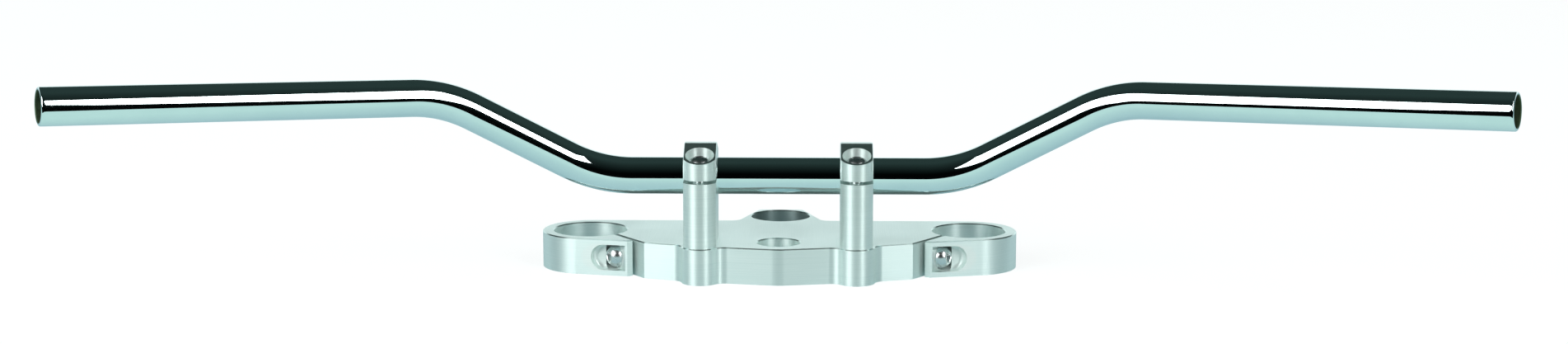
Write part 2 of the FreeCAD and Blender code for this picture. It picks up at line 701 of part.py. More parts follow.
def make_socket_screw(name, length):
    """A cylinder-head screw along X, laid as the button-head screw is."""
    screw = doc.addObject("PartDesign::Body", name)
    profile = new_sketch(screw, "profile")
    corners = shank_corners(length) + [
        ("0", "Sizes.socket_head_diameter / 2"),
        ("Sizes.socket_head_height - Sizes.socket_head_rounding", "Sizes.socket_head_diameter / 2"),
        ("Sizes.socket_head_height", "Sizes.socket_head_diameter / 2 - Sizes.socket_head_rounding"),
        ("Sizes.socket_head_height", "0"),
    ]
    polygon(profile, corners)
    doc.recompute()
    revolve(screw, "PartDesign::Revolution", "turned_form", profile)
    add_socket(screw, "Sizes.socket_head_hex", "Sizes.socket_head_hex_depth", "Sizes.socket_head_height")
    return screw


def screw_group(name, screw, places, axis, angles):
    """Copies of one screw, each at its own place, as one piece of several solids."""
    copies = []
    for number, (place, angle) in enumerate(zip(places, angles), start=1):
        copy = doc.addObject("App::Link", f"{name}_{number}")
        copy.LinkedObject = screw
        copy.Placement = Placement(Vector(), Rotation(axis, START_TURN))
        copy.setExpression("Placement.Rotation.Angle", angle)
        for letter, expression in zip("xyz", place):
            copy.setExpression(f"Placement.Base.{letter}", expression)
        copies.append(copy)
    group = doc.addObject("Part::Compound", name)
    group.Label = name
    group.Links = copies
    doc.recompute()
    return group


def around_risers(spacing, height):
    """Four places: in front of and behind the bar on each riser."""
    return [
        (f"{side} * {RISER_X}", f"Sizes.bar_forward + {end} * {spacing} / 2", height)
        for side in SIDES.values()
        for end in (-1, 1)
    ]


def make_screws():
    cap_screw = make_button_screw("cap")
    cap_places = around_risers("Sizes.cap_screw_spacing", f"{BAR_HEIGHT} + Sizes.cap_screw_seat")
    riser_screw = make_socket_screw("riser_screw", "Sizes.riser_screw_length")
    riser_places = around_risers("Sizes.riser_screw_spacing", "Sizes.riser_screw_seat")
    pinch_screw = make_button_screw("pinch")
    pinch_places = [(f"{side} * {SEAT_X}", SEAT_Y, MID_HEIGHT) for side in (LEFT, RIGHT)]
    pinch_angles = ["180 + Sizes.pinch_angle", "-Sizes.pinch_angle"]
    crosswise = Vector(0, 1, 0)
    return [
        screw_group("cap_screws", cap_screw, cap_places, crosswise, ["-90"] * len(cap_places)),
        screw_group("riser_screws", riser_screw, riser_places, crosswise, ["90"] * len(riser_places)),
        screw_group("pinch_screws", pinch_screw, pinch_places, UP, pinch_angles),
    ]


def check(pieces):
    for item in doc.Objects:
        if "Invalid" in item.State or "Error" in item.State:
            raise RuntimeError(f"{item.Label} failed: {item.State}")
    for piece in pieces:
        if piece.Shape.isNull() or not piece.Shape.isValid():
            raise RuntimeError(f"{piece.Label} has no valid shape")


pieces = [make_handlebar(), make_yoke()]
pieces += [make_riser(side) for side in SIDES]
pieces += [make_cap(side) for side in SIDES]
pieces += make_screws()
doc.recompute()
check(pieces)
os.makedirs("parts", exist_ok=True)
for piece in pieces:
    piece.Shape.exportStep(f"parts/{piece.Label}.step")
    print(f"{piece.Label}: {len(piece.Shape.Solids)} solid(s), {piece.Shape.Volume / 1000:.2f} cm3")
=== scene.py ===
# %% [markdown]
# # A chromed motorcycle handlebar on risers and a milled fork yoke
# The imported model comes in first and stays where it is. It is the measure for every piece below: lengths are metres,
# +X points to the rider's right, +Y forwards, +Z up, and the origin is on the steering axis at the yoke's underside.

# %% Load the fixed frame
import math

import bmesh
import bpy
from mathutils import Matrix, Vector


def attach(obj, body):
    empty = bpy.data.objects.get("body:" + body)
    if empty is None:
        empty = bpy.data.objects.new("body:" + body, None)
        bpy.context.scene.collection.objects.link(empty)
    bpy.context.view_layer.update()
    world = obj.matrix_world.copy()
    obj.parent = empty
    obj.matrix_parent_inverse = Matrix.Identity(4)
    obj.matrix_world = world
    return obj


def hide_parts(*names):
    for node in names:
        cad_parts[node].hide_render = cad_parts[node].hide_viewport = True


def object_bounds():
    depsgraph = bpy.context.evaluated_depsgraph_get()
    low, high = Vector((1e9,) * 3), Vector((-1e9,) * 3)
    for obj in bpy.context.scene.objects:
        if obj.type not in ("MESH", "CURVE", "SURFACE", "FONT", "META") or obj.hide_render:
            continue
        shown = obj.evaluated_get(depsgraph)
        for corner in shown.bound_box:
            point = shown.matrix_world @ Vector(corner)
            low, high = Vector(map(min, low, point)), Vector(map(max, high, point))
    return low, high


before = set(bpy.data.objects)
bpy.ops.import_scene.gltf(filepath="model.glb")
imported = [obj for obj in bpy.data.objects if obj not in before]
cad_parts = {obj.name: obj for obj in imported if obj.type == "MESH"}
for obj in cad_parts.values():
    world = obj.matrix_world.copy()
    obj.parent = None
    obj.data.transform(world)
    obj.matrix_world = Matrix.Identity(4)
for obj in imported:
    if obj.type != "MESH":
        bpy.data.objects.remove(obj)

MM = 0.001
scene = bpy.context.scene
scene.view_settings.view_transform = "Standard"
cad_low, cad_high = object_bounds()
print("CAD box in mm:", [round(v / MM, 1) for v in (*cad_low, *cad_high)])

# %% [markdown]
# ## The camera
# A long lens looks at the bar from the rider's seat, a little from above. Its place could be found by eye, but it is
# better worked out: known points of the solids were set against the same points of the photograph until they agreed.
# The focal length is given in pixels of the 1903 pixel wide picture and turned into a lens for a 36 mm wide sensor.

# %% Camera
PICTURE_WIDTH = 1903
SENSOR_WIDTH = 36.0
focal_pixels = 3327.46
camera_place = Vector((26.16, -1616.44, 354.40)) * MM
pitch_down, yaw, roll = 0.17718, 0.01415, 0.0012  # radians

forward = Vector((
    -math.sin(yaw) * math.cos(pitch_down),
    math.cos(yaw) * math.cos(pitch_down),
    -math.sin(pitch_down),
))
level_right = Vector((math.cos(yaw), math.sin(yaw), 0.0))
level_up = level_right.cross(forward)
right = math.cos(roll) * level_right + math.sin(roll) * level_up
up = right.cross(forward)

camera_data = bpy.data.cameras.new("seat_view")
camera_data.sensor_fit = "HORIZONTAL"
camera_data.sensor_width = SENSOR_WIDTH
camera_data.lens = focal_pixels / PICTURE_WIDTH * SENSOR_WIDTH
camera = bpy.data.objects.new("seat_view", camera_data)
turn = Matrix((right, up, -forward)).transposed()
camera.matrix_world = Matrix.Translation(camera_place) @ turn.to_4x4()
scene.collection.objects.link(camera)
scene.camera = camera
print("lens in mm:", round(camera_data.lens, 2))

# %% [markdown]
# ## Helpers for node trees
# Trees are written in the script. Four helpers keep that short. `add_node` adds a node and fills its inputs, where a
# socket given as an input becomes a link. `maths` is one step of arithmetic, `ramp` stretches a range of values to
# 0 to 1, and `open_group` opens a group with named sockets.

# %% Node helpers
SOCKET_TYPES = {
    "float": "NodeSocketFloat",
    "int": "NodeSocketInt",
    "vector": "NodeSocketVector",
    "geometry": "NodeSocketGeometry",
    "object": "NodeSocketObject",
    "material": "NodeSocketMaterial",
}


def add_node(tree, kind, inputs=None, **settings):
    node = tree.nodes.new(kind)
    for name, value in settings.items():
        setattr(node, name, value)
    for name, value in (inputs or {}).items():
        if isinstance(value, bpy.types.NodeSocket):
            tree.links.new(value, node.inputs[name])
        else:
            node.inputs[name].default_value = value
    return node


def maths(tree, operation, *values):
    return add_node(tree, "ShaderNodeMath", dict(enumerate(values)), operation=operation).outputs[0]


def ramp(tree, value, low, high):
    limits = {"Value": value, "From Min": low, "From Max": high}
    return add_node(tree, "ShaderNodeMapRange", limits).outputs[0]


def open_group(name, tree_kind, inputs, outputs):
    tree = bpy.data.node_groups.new(name, tree_kind)
    for label, kind in inputs.items():
        tree.interface.new_socket(label, in_out="INPUT", socket_type=SOCKET_TYPES[kind])
    for label, kind in outputs.items():
        tree.interface.new_socket(label, in_out="OUTPUT", socket_type=SOCKET_TYPES[kind])
    given = tree.nodes.new("NodeGroupInput").outputs
    result = tree.nodes.new("NodeGroupOutput").inputs
    return tree, given, result


print("sockets for groups:", ", ".join(SOCKET_TYPES))

# %% [markdown]
# ## Effects that the metals share
# Metal looks like metal through small changes of gloss. Two effects are used by more than one metal, so each is built
# once as a group. The first is `haze`, the soft, cloudy change of gloss that handling and polishing leave. A picture
# could hold it, but noise has no seams.

# %% Haze group
haze, given, result = open_group(
    "haze", "ShaderNodeTree",
    {"Vector": "vector", "Scale": "float", "Glossiest": "float", "Dullest": "float"},
    {"Mask": "float", "Roughness": "float"},
)
clouds = add_node(haze, "ShaderNodeTexNoise", {
    "Vector": given["Vector"], "Scale": given["Scale"], "Detail": 5.0, "Roughness": 0.6,
}).outputs[0]
spread = ramp(haze, clouds, 0.3, 0.7)
gloss = add_node(haze, "ShaderNodeMapRange", {
    "Value": spread, "To Min": given["Glossiest"], "To Max": given["Dullest"],
}).outputs[0]
haze.links.new(spread, result["Mask"])
haze.links.new(gloss, result["Roughness"])
print("shader group:", haze.name)

# %% [markdown]
# The second is `tool_marks`, the fine parallel lines that a cutter leaves: noise stretched along one direction.

# %% Tool mark group
tool_marks, given, result = open_group(
    "tool_marks", "ShaderNodeTree",
    {"Vector": "vector", "Stretch": "vector"},
    {"Mask": "float"},
)
stretched = add_node(tool_marks, "ShaderNodeVectorMath", {
    0: given["Vector"], 1: given["Stretch"],
}, operation="MULTIPLY").outputs[0]
lines = add_node(tool_marks, "ShaderNodeTexNoise", {
    "Vector": stretched, "Scale": 1.0, "Detail": 3.0, "Roughness": 0.65,
}).outputs[0]
tool_marks.links.new(ramp(tool_marks, lines, 0.25, 0.75), result["Mask"])
print("shader group:", tool_marks.name)

# %% [markdown]
# ## How a material starts
# Every metal starts the same way: a Principled shader, an output and the object's own coordinates, which do not slide
# when the part is moved. `use_group` sets a shared effect into a material, and `link_inputs` plugs the results into the
# shader. `blend_colours` mixes two colours. A Mix node has sockets for every kind of data, so its colour sockets are
# picked by number.

# %% Material helpers
COLOUR_A, COLOUR_B, COLOUR_OUT = 6, 7, 2


def start_material(name, metallic):
    material = bpy.data.materials.new(name)
    material.use_nodes = True
    tree = material.node_tree
    tree.nodes.clear()
    shader = add_node(tree, "ShaderNodeBsdfPrincipled", {"Metallic": metallic})
    add_node(tree, "ShaderNodeOutputMaterial", {0: shader.outputs[0]})
    place = tree.nodes.new("ShaderNodeTexCoord").outputs["Object"]
    return material, tree, shader, place


def use_group(tree, group, inputs):
    return add_node(tree, "ShaderNodeGroup", inputs, node_tree=group).outputs


def blend_colours(tree, mask, first, second):
    ends = [end if isinstance(end, bpy.types.NodeSocket) else (*end, 1.0) for end in (first, second)]
    mix = add_node(tree, "ShaderNodeMix", {0: mask, COLOUR_A: ends[0], COLOUR_B: ends[1]}, data_type="RGBA")
    return mix.outputs[COLOUR_OUT]


def link_inputs(tree, node, sockets):
    for name, socket in sockets.items():
        tree.links.new(socket, node.inputs[name])


print("a Mix node's colours are its inputs", COLOUR_A, "and", COLOUR_B)

# %% [markdown]
# ## Polished chrome
# The bar is steel with a bright chrome plating: almost a mirror, faintly blue-green. A mirror takes its look from what
# stands round it, so the material itself needs little: a trace of haze from the polishing wheel in colour and gloss,
# and a very shallow waviness, because no bent tube is perfectly straight.

# %% Chrome material
chrome, tree, shader, place = start_material("polished_chrome", 1.0)
polish = use_group(tree, haze, {"Vector": place, "Scale": 35.0, "Glossiest": 0.02, "Dullest": 0.05})
tint = blend_colours(tree, polish["Mask"], (0.74, 0.86, 0.86), (0.79, 0.90, 0.90))
waves = add_node(tree, "ShaderNodeTexNoise", {"Vector": place, "Scale": 18.0, "Detail": 1.0}).outputs[0]
ripple = add_node(tree, "ShaderNodeBump", {"Height": waves, "Strength": 0.05, "Distance": 0.1 * MM}).outputs[0]
link_inputs(tree, shader, {"Base Color": tint, "Roughness": polish["Roughness"], "Normal": ripple})
print("material:", chrome.name)

# %% [markdown]
# ## Milled aluminium
# Yoke, risers and caps are cut from solid aluminium and left bare. Most of it is satin, but the cutter leaves some
# places different: the counterbores of the caps and the recesses of the pinch screws. The bore of the lock is
# painted darker: painted shade in the hollow. A part could be cut into several materials for that. It is simpler to
# ask in the shader whether a point lies in such a hollow, and the group `bored_hollow` does that: a point counts if
# it is above the seat and near the hollow's axis.

# %% Hollow group
SEAT_MARGIN = 0.1 * MM
hollow, given, result = open_group(
    "bored_hollow", "ShaderNodeTree",
    {"Vector": "vector", "Seat": "vector", "Axis": "vector", "Radius": "float"},
    {"Mask": "float"},
)


def vector_maths(tree, operation, inputs, output):
    return add_node(tree, "ShaderNodeVectorMath", inputs, operation=operation).outputs[output]


offset = vector_maths(hollow, "SUBTRACT", {0: given["Vector"], 1: given["Seat"]}, "Vector")
depth = vector_maths(hollow, "DOT_PRODUCT", {0: offset, 1: given["Axis"]}, "Value")
foot = vector_maths(hollow, "SCALE", {0: given["Axis"], "Scale": depth}, "Vector")
from_axis = vector_maths(hollow, "DISTANCE", {0: offset, 1: foot}, "Value")
within = maths(hollow, "LESS_THAN", from_axis, given["Radius"])
above = maths(hollow, "GREATER_THAN", depth, -SEAT_MARGIN)
hollow.links.new(maths(hollow, "MULTIPLY", within, above), result["Mask"])
print("shader group:", hollow.name)

# %% [markdown]
# The hollows lie where the screws and the lock are. These places, in millimetres, serve again when the screws are set.

# %% Places of the hollows
riser_x, bar_forward, bar_height, yoke_thickness = 46.7, 4.0, 62.0, 22.0
cap_seat, cap_screw_spacing, cap_counterbore = 9.6, 32.4, 17.2
cap_screw_height = bar_height + cap_seat
pinch_place = Vector((97.767, 11.931, yoke_thickness / 2))
pinch_angle, recess_width = math.radians(30.0), 15.6
pinch_axis = Vector((math.cos(pinch_angle), -math.sin(pinch_angle), 0.0))
lock_forward, lock_bore = 84.0, 36.8
upwards = Vector((0.0, 0.0, 1.0))
print("cap screws sit at a height of", cap_screw_height, "mm, pinch screws at", pinch_place.z, "mm")

# %% [markdown]
# Left and right are mirror images, and in a cap so are front and rear. So the coordinates are folded over, and one
# hollow of each kind is enough. Each radius is a little larger than the hollow, to take in its wall.

# %% Masks of the hollows
WALL_MARGIN, RECESS_MARGIN = 0.05, 0.8
SATIN_METALLIC = 0.74
aluminium, tree, shader, place = start_material("milled_aluminium", SATIN_METALLIC)
across, ahead, height = add_node(tree, "ShaderNodeSeparateXYZ", {0: place}).outputs
one_side = maths(tree, "ABSOLUTE", across)
one_end = maths(tree, "ABSOLUTE", maths(tree, "SUBTRACT", ahead, bar_forward * MM))
folded = add_node(tree, "ShaderNodeCombineXYZ", {0: one_side, 1: ahead, 2: height}).outputs[0]
folded_twice = add_node(tree, "ShaderNodeCombineXYZ", {0: one_side, 1: one_end, 2: height}).outputs[0]


def hollow_mask(point, seat, axis, radius):
    """1 inside a hollow of the aluminium, 0 elsewhere; seat and radius are in millimetres."""
    measures = {"Vector": point, "Seat": Vector(seat) * MM, "Axis": axis, "Radius": radius * MM}
    return use_group(tree, hollow, measures)["Mask"]


in_recess = hollow_mask(folded, pinch_place, pinch_axis, recess_width / 2 + RECESS_MARGIN)
cap_place = (riser_x, cap_screw_spacing / 2, cap_screw_height)
in_cap = hollow_mask(folded_twice, cap_place, upwards, cap_counterbore / 2 + WALL_MARGIN)
# This mask only paints shade into the lock's bore.
lock_bore_painted_shade = hollow_mask(place, (0.0, lock_forward, 0.0), upwards, lock_bore / 2 + WALL_MARGIN)
print("hollows: recess of the pinch screw, counterbore of the cap, bore of the lock")

# %% [markdown]
# The face's own normal tells the slope. Its upward share is 1 on a level face, 0 on an upright one and between them on
# a bevel. Each pair of shares below is where such a face begins to count and where it counts in full.

# %% Masks of the slopes
BEVEL_SHARES, LEVEL_SHARES = (0.2, 0.35), (0.95, 0.99)
normal = tree.nodes.new("ShaderNodeNewGeometry").outputs["Normal"]
upward = maths(tree, "ABSOLUTE", add_node(tree, "ShaderNodeSeparateXYZ", {0: normal}).outputs["Z"])
is_level = ramp(tree, upward, *LEVEL_SHARES)
is_slanted = maths(tree, "SUBTRACT", ramp(tree, upward, *BEVEL_SHARES), is_level)
print("aluminium so far:", len(tree.nodes), "nodes")

# %% [markdown]
# The side of the cutter leaves lines along the upright faces, and facing the plate leaves lines across its top. Both
# come from `tool_marks` with another stretch, and they touch colour, gloss and a very shallow bump. Such lines also
# smear a reflection at right angles to themselves. That is what anisotropy does, along the tangent that is set here.
# Each mask then moves gloss and metal a step: bevels are bright and the pinch screws' recesses dull. The lock's bore
# gets a darker colour instead, painted shade in the hollow.

# %% Aluminium material
FLOAT_A, FLOAT_B = 2, 3
VECTOR_A, VECTOR_B, VECTOR_OUT = 4, 5, 1
side_lines = use_group(tree, tool_marks, {"Vector": place, "Stretch": (14.0, 14.0, 2600.0)})["Mask"]
face_lines = use_group(tree, tool_marks, {"Vector": place, "Stretch": (2600.0, 25.0, 25.0)})["Mask"]
marks = add_node(tree, "ShaderNodeMix", {0: is_level, FLOAT_A: side_lines, FLOAT_B: face_lines}).outputs[0]
smear = add_node(tree, "ShaderNodeMix", {
    0: is_level, VECTOR_A: (0.0, 0.0, 1.0), VECTOR_B: (1.0, 0.0, 0.0),
}, data_type="VECTOR").outputs[VECTOR_OUT]
shader.inputs["Anisotropic"].default_value = 0.72

tint = blend_colours(tree, marks, (0.73, 0.86, 0.83), (0.82, 0.93, 0.90))
# The lock's bore is painted darker: painted shade in the hollow.
tint = blend_colours(tree, lock_bore_painted_shade, tint, (0.30, 0.39, 0.38))
gloss = use_group(tree, haze, {"Vector": place, "Scale": 28.0, "Glossiest": 0.36, "Dullest": 0.44})["Roughness"]
for mask, step in ((marks, 0.08), (is_level, -0.06), (is_slanted, -0.12), (in_recess, 0.12)):
    gloss = maths(tree, "MULTIPLY_ADD", mask, step, gloss)
metal = SATIN_METALLIC
for mask, step in ((is_slanted, 0.26), (is_level, 0.16), (in_recess, -0.4), (in_cap, -0.1)):
    metal = maths(tree, "MULTIPLY_ADD", mask, step, metal)
scratch = add_node(tree, "ShaderNodeBump", {"Height": marks, "Strength": 0.12, "Distance": 0.05 * MM}).outputs[0]
link_inputs(tree, shader, {
    "Base Color": tint, "Roughness": gloss, "Metallic": metal, "Normal": scratch, "Tangent": smear,
})
print("material:", aluminium.name)

# %% [markdown]
# ## Screw steel
# The screws are bright stainless steel, darker than the aluminium and glossier, with turned rings round the head.
# Rings need each screw's own axis, so the screw's mesh carries the distance from that axis as an attribute.

# %% Steel material
steel, tree, shader, place = start_material("screw_steel", 1.0)
from_axis = add_node(tree, "ShaderNodeAttribute", attribute_name="from_axis").outputs["Fac"]
ring_place = add_node(tree, "ShaderNodeCombineXYZ", {0: from_axis}).outputs[0]
rings = use_group(tree, tool_marks, {"Vector": ring_place, "Stretch": (4000.0, 1.0, 1.0)})["Mask"]
wear = use_group(tree, haze, {"Vector": place, "Scale": 160.0, "Glossiest": 0.2, "Dullest": 0.32})
tint = blend_colours(tree, rings, (0.60, 0.64, 0.64), (0.74, 0.78, 0.78))
turned = add_node(tree, "ShaderNodeBump", {"Height": rings, "Strength": 0.1, "Distance": 0.03 * MM}).outputs[0]
link_inputs(tree, shader, {"Base Color": tint, "Roughness": wear["Roughness"], "Normal": turned})
print("material:", steel.name)

# %% [markdown]
# ## Bare steel inside the tube
# The plating bath hardly reaches into the tube, so the inside and the bevel of the mouth stay bare steel: dull,
# olive-grey and blotchy. Its colours are very dark, which is painted shade inside the tube. Two layers of `haze` of
# different scale mix them.

# %% Bare steel material
bare_steel_painted_shade, tree, shader, place = start_material("bare_steel_painted_shade", 0.7)
blotches = use_group(tree, haze, {"Vector": place, "Scale": 240.0, "Glossiest": 0.45, "Dullest": 0.7})
specks = use_group(tree, haze, {"Vector": place, "Scale": 900.0, "Glossiest": 0.0, "Dullest": 1.0})["Mask"]
# Both colours are very dark: bare steel with painted shade of the tube's inside.
tint = blend_colours(tree, blotches["Mask"], (0.035, 0.065, 0.036), (0.13, 0.20, 0.11))
tint = blend_colours(tree, specks, tint, (0.08, 0.13, 0.07))
pits = add_node(tree, "ShaderNodeBump", {"Height": specks, "Strength": 0.2, "Distance": 0.05 * MM}).outputs[0]
link_inputs(tree, shader, {"Base Color": tint, "Roughness": blotches["Roughness"], "Normal": pits})
print("material:", bare_steel_painted_shade.name)

# %% [markdown]
# ## The bent tube
# The bar is one straight tube, bent four times round the same former. That is a rule, so Geometry Nodes make it: a
# path of straight runs is rounded at its bends, and a circle is swept along it, once for the outer and once for the
# inner wall. A sweep is better than the solid's own triangles here, because a mirror shows every facet. The path's
# points carry a radius of 1 where it bends and 0 where it doesn't.

# %% Tube rule: the path
tube_rule, given, result = open_group(
    "bent_tube", "GeometryNodeTree",
    {
        "Path": "geometry", "Bend Radius": "float", "Steps per Bend": "int", "Outer Radius": "float",
        "Wall": "float", "End Rounding": "float", "Mouth Bevel": "float", "Round Steps": "int",
        "Finish": "material", "Inside Finish": "material",
    },
    {"Tube": "geometry"},
)


def tube_sum(operation, *values):
    return maths(tube_rule, operation, *values)


is_bend = tube_rule.nodes.new("GeometryNodeInputRadius").outputs[0]
bent_path = add_node(tube_rule, "GeometryNodeFilletCurve", {
    "Curve": given["Path"],
    "Radius": tube_sum("MULTIPLY", is_bend, given["Bend Radius"]),
    "Count": given["Steps per Bend"],
}, mode="POLY").outputs[0]
along = tube_rule.nodes.new("GeometryNodeSplineParameter").outputs["Length"]
whole = tube_rule.nodes.new("GeometryNodeSplineLength").outputs["Length"]
to_end = tube_sum("MINIMUM", along, tube_sum("SUBTRACT", whole, along))
print("tube rule, path:", len(tube_rule.nodes), "nodes")

# %% [markdown]
# Near the ends the two circles change with the distance to the end. The outer one shrinks along a quarter of a circle
# to a rounded rim, and the inner one widens to a bevelled mouth. In the last ring it jumps to the rim, so that both
# walls meet there.

# %% Tube rule: rim and mouth
LAST_RING = 0.005 * MM
into_rim = tube_sum("DIVIDE", tube_sum("SUBTRACT", given["End Rounding"], to_end), given["End Rounding"])
into_rim = tube_sum("MAXIMUM", into_rim, 0.0)
arc = tube_sum("SUBTRACT", 1.0, tube_sum("MULTIPLY", into_rim, into_rim))
arc = tube_sum("SQRT", tube_sum("MAXIMUM", arc, 0.0))
drop = tube_sum("MULTIPLY", given["End Rounding"], tube_sum("SUBTRACT", 1.0, arc))
outer_radius = tube_sum("SUBTRACT", given["Outer Radius"], drop)

inner_wall = tube_sum("SUBTRACT", given["Outer Radius"], given["Wall"])
bevel = tube_sum("MAXIMUM", tube_sum("SUBTRACT", given["Mouth Bevel"], to_end), 0.0)
mouth_radius = tube_sum("ADD", inner_wall, bevel)
rim_radius = tube_sum("SUBTRACT", given["Outer Radius"], given["End Rounding"])
at_rim = tube_sum("LESS_THAN", to_end, LAST_RING)
to_rim = tube_sum("MULTIPLY", at_rim, tube_sum("SUBTRACT", rim_radius, mouth_radius))
inner_radius = tube_sum("ADD", mouth_radius, to_rim)
print("tube rule, rim and mouth:", len(tube_rule.nodes), "nodes")

# %% [markdown]
# Each wall is swept on its own. It keeps two marks for later: how far a point is from the tube's end, and whether a
# face is inside. The inner wall is turned inside out, so that it faces the hollow.

# %% Tube rule: the walls
section = add_node(tube_rule, "GeometryNodeCurvePrimitiveCircle", {
    "Resolution": given["Round Steps"], "Radius": 1.0,
}).outputs[0]
walls = tube_rule.nodes.new("GeometryNodeJoinGeometry")
for radius, is_inner in ((outer_radius, False), (inner_radius, True)):
    shaped = add_node(tube_rule, "GeometryNodeSetCurveRadius", {"Curve": bent_path, "Radius": radius}).outputs[0]
    marked = add_node(tube_rule, "GeometryNodeStoreNamedAttribute", {
        "Geometry": shaped, "Name": "from_end", "Value": to_end,
    }, data_type="FLOAT", domain="POINT").outputs[0]
    own_radius = tube_rule.nodes.new("GeometryNodeInputRadius").outputs[0]
    wall = add_node(tube_rule, "GeometryNodeCurveToMesh", {
        "Curve": marked, "Profile Curve": section, "Scale": own_radius,
    }).outputs[0]
    if is_inner:
        wall = add_node(tube_rule, "GeometryNodeFlipFaces", {"Mesh": wall}).outputs[0]
    wall = add_node(tube_rule, "GeometryNodeStoreNamedAttribute", {
        "Geometry": wall, "Name": "inside", "Value": is_inner,
    }, data_type="BOOLEAN", domain="FACE").outputs[0]
    tube_rule.links.new(wall, walls.inputs[0])
print("tube rule, walls:", len(tube_rule.nodes), "nodes")

# %% [markdown]
# The walls are joined at the rims, and the finish goes on: chrome everywhere, and bare steel on what is inside and
# past the flat ring of the rim.

# %% Tube rule: the finish
JOIN_DISTANCE, RIM_RING = 0.001 * MM, 0.02 * MM
closed = add_node(tube_rule, "GeometryNodeMergeByDistance", {
    "Geometry": walls.outputs[0], "Distance": JOIN_DISTANCE,
}).outputs[0]
real = add_node(tube_rule, "GeometryNodeRealizeInstances", {"Geometry": closed}).outputs[0]
plated = add_node(tube_rule, "GeometryNodeSetMaterial", {"Geometry": real, "Material": given["Finish"]}).outputs[0]
inside = add_node(tube_rule, "GeometryNodeInputNamedAttribute", {"Name": "inside"}, data_type="BOOLEAN").outputs[0]
depth = add_node(tube_rule, "GeometryNodeInputNamedAttribute", {"Name": "from_end"}, data_type="FLOAT").outputs[0]
unplated = tube_sum("MULTIPLY", inside, tube_sum("GREATER_THAN", depth, RIM_RING))
lined = add_node(tube_rule, "GeometryNodeSetMaterial", {
    "Geometry": plated, "Selection": unplated, "Material": given["Inside Finish"],
}).outputs[0]
tube_rule.links.new(lined, result["Tube"])
print("tube rule, finish:", len(tube_rule.nodes), "nodes")

# %% [markdown]
# A modifier runs the rule on the path. Its inputs are set by socket identifier before Blender looks at the result, and
# the result is then frozen into a plain mesh that sits at the origin. Shading is smooth, with sharp edges only where
# two faces meet at a real edge.

# %% Freeze helper
def set_inputs(modifier, values):
    for item in modifier.node_group.interface.items_tree:
        if item.item_type == "SOCKET" and item.in_out == "INPUT" and item.name in values:
            modifier[item.identifier] = values[item.name]


def freeze(source, name, sharp_degrees):
    """A plain mesh piece from a source object with live modifiers; the source goes."""
    bpy.context.view_layer.update()
    ready = source.evaluated_get(bpy.context.evaluated_depsgraph_get())
    mesh = bpy.data.meshes.new_from_object(ready)
    source_data = source.data
    bpy.data.objects.remove(source)
    if isinstance(source_data, bpy.types.Mesh):
        bpy.data.meshes.remove(source_data)
    mesh.name = name
    mesh.shade_smooth()
    mesh.set_sharp_from_angle(angle=math.radians(sharp_degrees))
    piece = bpy.data.objects.new(name, mesh)
    scene.collection.objects.link(piece)
    print(name, "has", len(mesh.polygons), "faces")
    return piece


def stand_for(piece, node):
    """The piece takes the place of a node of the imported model."""
    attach(piece, "root")
    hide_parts(node)


print("helpers: set_inputs, freeze, stand_for")

# %% [markdown]
# The path is half the bar, mirrored: a straight middle, a bend up to the shoulder and a bend back to the grip. Extra
# points near the end give the sweep something to shrink. One lies a hundredth of a millimetre from the end: from there
# the inner wall crosses the flat rim. Two lie past the rounding, so that the rim's slant doesn't creep into the shading
# of the long straight grip.

# %% Path of the tube
end_rounding, mouth_bevel = 1.1, 0.5
half_path = [
    Vector((107.9, bar_forward, bar_height)), Vector((197.8, -15.3, 111.7)), Vector((408.7, -120.3, 121.7)),
]

RIM_STEPS = 6
rim_crossing = 0.01
from_end = {0.0, rim_crossing, mouth_bevel, 2 * end_rounding, 4 * end_rounding}
for step in range(1, RIM_STEPS + 1):
    from_end.add(end_rounding * (1.0 - math.cos(step / RIM_STEPS * math.pi / 2)))
end_run = (half_path[1] - half_path[2]).normalized()
right_points = [(corner, 1.0) for corner in half_path[:2]]
right_points += [(half_path[2] + end_run * distance, 0.0) for distance in sorted(from_end, reverse=True)]
left_points = [(Vector((-p.x, p.y, p.z)), bend) for p, bend in reversed(right_points)]

path_data = bpy.data.curves.new("tube_path", "CURVE")
path_data.dimensions = "3D"
spline = path_data.splines.new("POLY")
spline.points.add(len(left_points) + len(right_points) - 1)
for point, (corner, bend) in zip(spline.points, left_points + right_points):
    point.co = (*(corner * MM), 1.0)
    point.radius = bend
tube_path = bpy.data.objects.new("tube_path", path_data)
scene.collection.objects.link(tube_path)
print("tube path:", len(spline.points), "points")

# %% [markdown]
# The rule now gets its measures. The tube has more steps round it and along its bends than its outline needs, because
# a highlight shows every step.

# %% Chrome tube
TUBE_SHARP_DEGREES = 30.0
tube_radius, tube_wall, bend_radius = 11.1, 2.0, 75.0
modifier = tube_path.modifiers.new("bent_tube", "NODES")
modifier.node_group = tube_rule
set_inputs(modifier, {
    "Bend Radius": bend_radius * MM, "Steps per Bend": 44, "Outer Radius": tube_radius * MM,
    "Wall": tube_wall * MM, "End Rounding": end_rounding * MM, "Mouth Bevel": mouth_bevel * MM,
    "Round Steps": 96, "Finish": chrome, "Inside Finish": bare_steel_painted_shade,
})
chrome_tube = freeze(tube_path, "chrome_bar", TUBE_SHARP_DEGREES)
stand_for(chrome_tube, "handlebar_tube")

# %% [markdown]
# ## The screws
# One screw of each kind is modelled, and Geometry Nodes put a copy on each place and turn it to face the right way.
# Copies could be placed one by one, but copies that share one tree stay alike.

